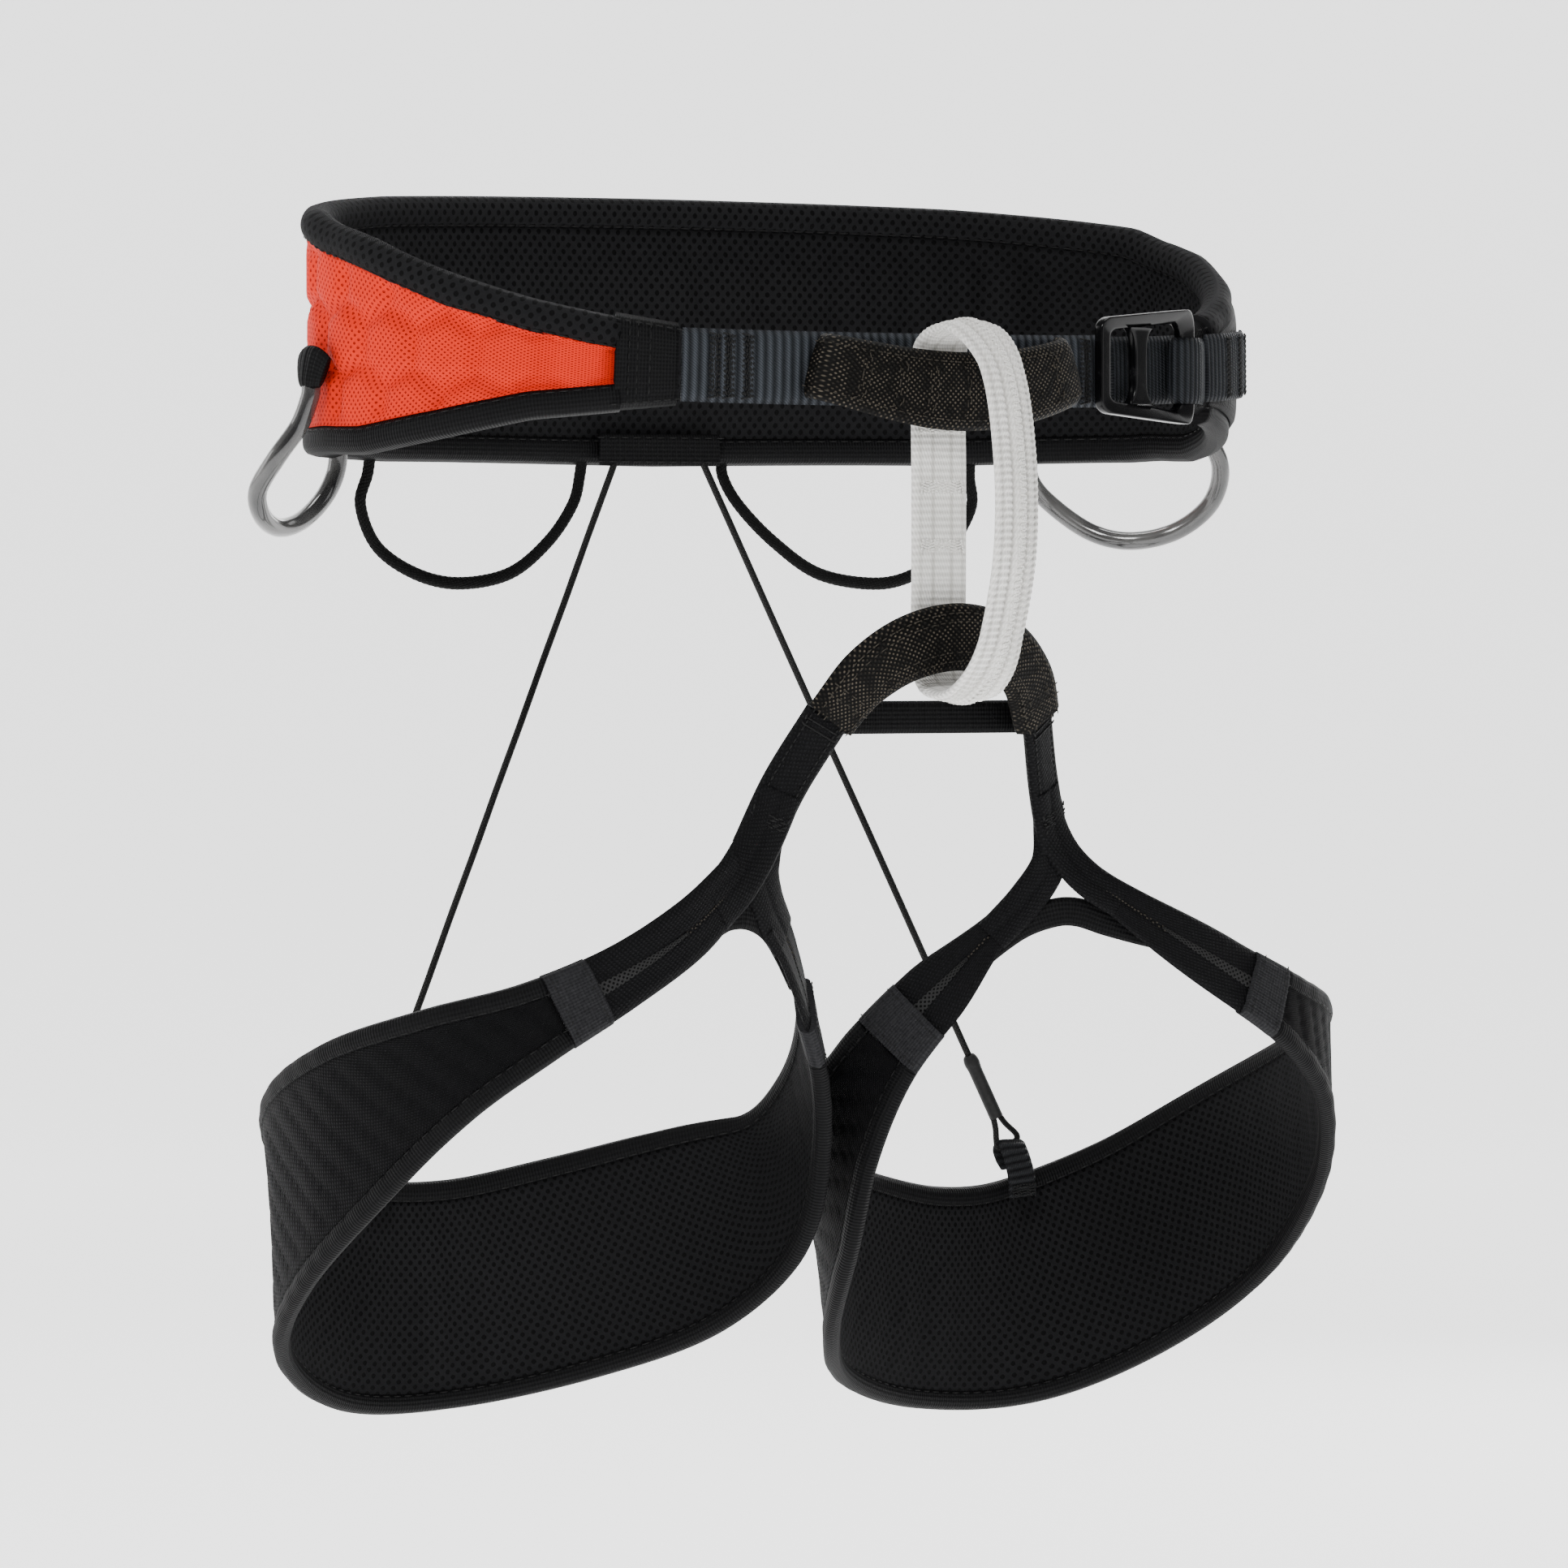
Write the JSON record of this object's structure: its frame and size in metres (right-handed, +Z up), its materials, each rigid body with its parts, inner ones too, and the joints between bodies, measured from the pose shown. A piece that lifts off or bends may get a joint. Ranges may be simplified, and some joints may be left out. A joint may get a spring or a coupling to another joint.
{
  "type": "climbing harness",
  "caption": "Sport climbing harness: padded waist belt with front slide buckle, belay loop, leg loops on a tie-in bridge, elastic rear risers and gear loops.",
  "frame": {"origin": "middle of the waist belt, level with its sides' middle height, where the wearer's waist is", "axes": "+Z up along the wearer's spine, -Y the way the wearer faces, +X the wearer's left"},
  "size_m": [0.3275, 0.1932, 0.3474],
  "materials": {
    "binding": "matte",
    "black_mesh": "matte",
    "black_metal": "gloss",
    "cord": "matte",
    "foam": "matte",
    "grey_tube": "satin",
    "leg_knit": "matte",
    "orange_knit": "matte",
    "sheath": "matte",
    "webbing": "matte",
    "white_webbing": "matte",
    "wrap": "matte"
  },
  "bodies": {
    "waist_belt": {"adjust_strap": "webbing", "buckle_frame": "black_metal", "gear_tab_left": "binding", "gear_tab_right": "binding", "riser_anchor": "webbing", "upper_tie_in": "sheath", "waist_core": "foam", "waist_edge_bottom": "binding", "waist_edge_top": "black_mesh", "waist_end_left": "binding", "waist_end_right": "binding", "waist_lining": "black_mesh", "waist_shell": "orange_knit", "waist_webbing": "webbing"},
    "buckle_slider": {"buckle_slider": "black_metal"},
    "belay_loop": {"belay_loop": "white_webbing"},
    "leg_bridge": {"lower_tie_in": "sheath", "cross_strap": "binding", "riser_strap_left": "leg_knit", "riser_strap_right": "leg_knit"},
    "leg_loop_left": {"leg_edge_bottom_left": "binding", "leg_edge_top_left": "binding", "leg_lining_left": "black_mesh", "leg_shell_left": "leg_knit", "leg_strap_inner_left": "leg_knit", "leg_strap_outer_left": "leg_knit", "leg_strap_under_left": "binding", "leg_wrap_inner_left": "wrap", "leg_wrap_outer_left": "wrap", "riser_tab_left": "webbing"},
    "riser_left": {"riser_cord_left": "cord"},
    "riser_end_left": {"riser_sleeve_left": "cord", "riser_end_loop_left": "cord"},
    "gear_loop_front_left": {"gear_loop_front_left": "grey_tube", "gear_core_front_left": "cord"},
    "gear_loop_rear_left": {"gear_loop_rear_left": "cord"},
    "leg_loop_right": {"leg_edge_bottom_right": "binding", "leg_edge_top_right": "binding", "leg_lining_right": "black_mesh", "leg_shell_right": "leg_knit", "leg_strap_inner_right": "leg_knit", "leg_strap_outer_right": "leg_knit", "leg_strap_under_right": "binding", "leg_wrap_inner_right": "wrap", "leg_wrap_outer_right": "wrap", "riser_tab_right": "webbing"},
    "riser_right": {"riser_cord_right": "cord"},
    "riser_end_right": {"riser_sleeve_right": "cord", "riser_end_loop_right": "cord"},
    "gear_loop_front_right": {"gear_loop_front_right": "grey_tube", "gear_core_front_right": "cord"},
    "gear_loop_rear_right": {"gear_loop_rear_right": "cord"}
  },
  "joints": [
    {"name": "buckle_slide", "type": "slide", "parent": "waist_belt", "child": "buckle_slider", "axis": [0.9607, 0.2775, 0], "range_m": [0, 0.003]},
    {"name": "belay_swing", "type": "hinge", "parent": "waist_belt", "child": "belay_loop", "pos_m": [-0.001, -0.093, -0.015], "axis": [1, 0, 0], "range_deg": [0, 4]},
    {"name": "leg_swing", "type": "hinge", "parent": "waist_belt", "child": "leg_bridge", "pos_m": [0, -0.098, -0.09], "axis": [-1, 0, 0], "range_deg": [-5, 10.5]},
    {"name": "leg_roll_left", "type": "hinge", "parent": "leg_bridge", "child": "leg_loop_left", "pos_m": [0.05, -0.071, -0.1425], "axis": [-0.3863, -0.7221, 0.5738], "range_deg": [0, 12]},
    {"name": "riser_swing_left", "type": "hinge", "parent": "waist_belt", "child": "riser_left", "pos_m": [0.016, 0.0544, -0.035], "axis": [-0.798, 0.4332, -0.419], "range_deg": [-3.43, 6.98]},
    {"name": "riser_stretch_left", "type": "slide", "parent": "riser_left", "child": "riser_end_left", "axis": [0.4269, -0.0844, -0.9003], "range_m": [-0.01207, 0.02479], "deforming": ["riser_cord_left"]},
    {"name": "gear_swing_front_left", "type": "hinge", "parent": "waist_belt", "child": "gear_loop_front_left", "pos_m": [0.1448, -0.003, -0.0165], "axis": [0.5272, -0.7637, 0.3726], "range_deg": [0, 35]},
    {"name": "gear_swing_rear_left", "type": "hinge", "parent": "waist_belt", "child": "gear_loop_rear_left", "pos_m": [0.101, 0.0465, -0.036], "axis": [0.9881, -0.154, 0], "range_deg": [0, 60]},
    {"name": "leg_roll_right", "type": "hinge", "parent": "leg_bridge", "child": "leg_loop_right", "pos_m": [-0.05, -0.071, -0.1425], "axis": [-0.3928, 0.7334, -0.5548], "range_deg": [0, 12]},
    {"name": "riser_swing_right", "type": "hinge", "parent": "waist_belt", "child": "riser_right", "pos_m": [-0.016, 0.0544, -0.035], "axis": [-0.7847, -0.4523, 0.4238], "range_deg": [-3.4, 6.93]},
    {"name": "riser_stretch_right", "type": "slide", "parent": "riser_right", "child": "riser_end_right", "axis": [-0.4347, -0.0859, -0.8965], "range_m": [-0.01201, 0.02467], "deforming": ["riser_cord_right"]},
    {"name": "gear_swing_front_right", "type": "hinge", "parent": "waist_belt", "child": "gear_loop_front_right", "pos_m": [-0.1448, 0.004, -0.0165], "axis": [0.5829, 0.7003, -0.412], "range_deg": [0, 35]},
    {"name": "gear_swing_rear_right", "type": "hinge", "parent": "waist_belt", "child": "gear_loop_rear_right", "pos_m": [-0.101, 0.0465, -0.036], "axis": [0.9881, 0.154, 0], "range_deg": [0, 60]}
  ],
  "couplings": [
    {"joint": "riser_swing_left", "follows": "leg_swing", "ratio": 0.64548},
    {"joint": "riser_stretch_left", "follows": "leg_swing", "m_per_rad": 0.13257},
    {"joint": "riser_swing_right", "follows": "leg_swing", "ratio": 0.64079},
    {"joint": "riser_stretch_right", "follows": "leg_swing", "m_per_rad": 0.1319}
  ]
}
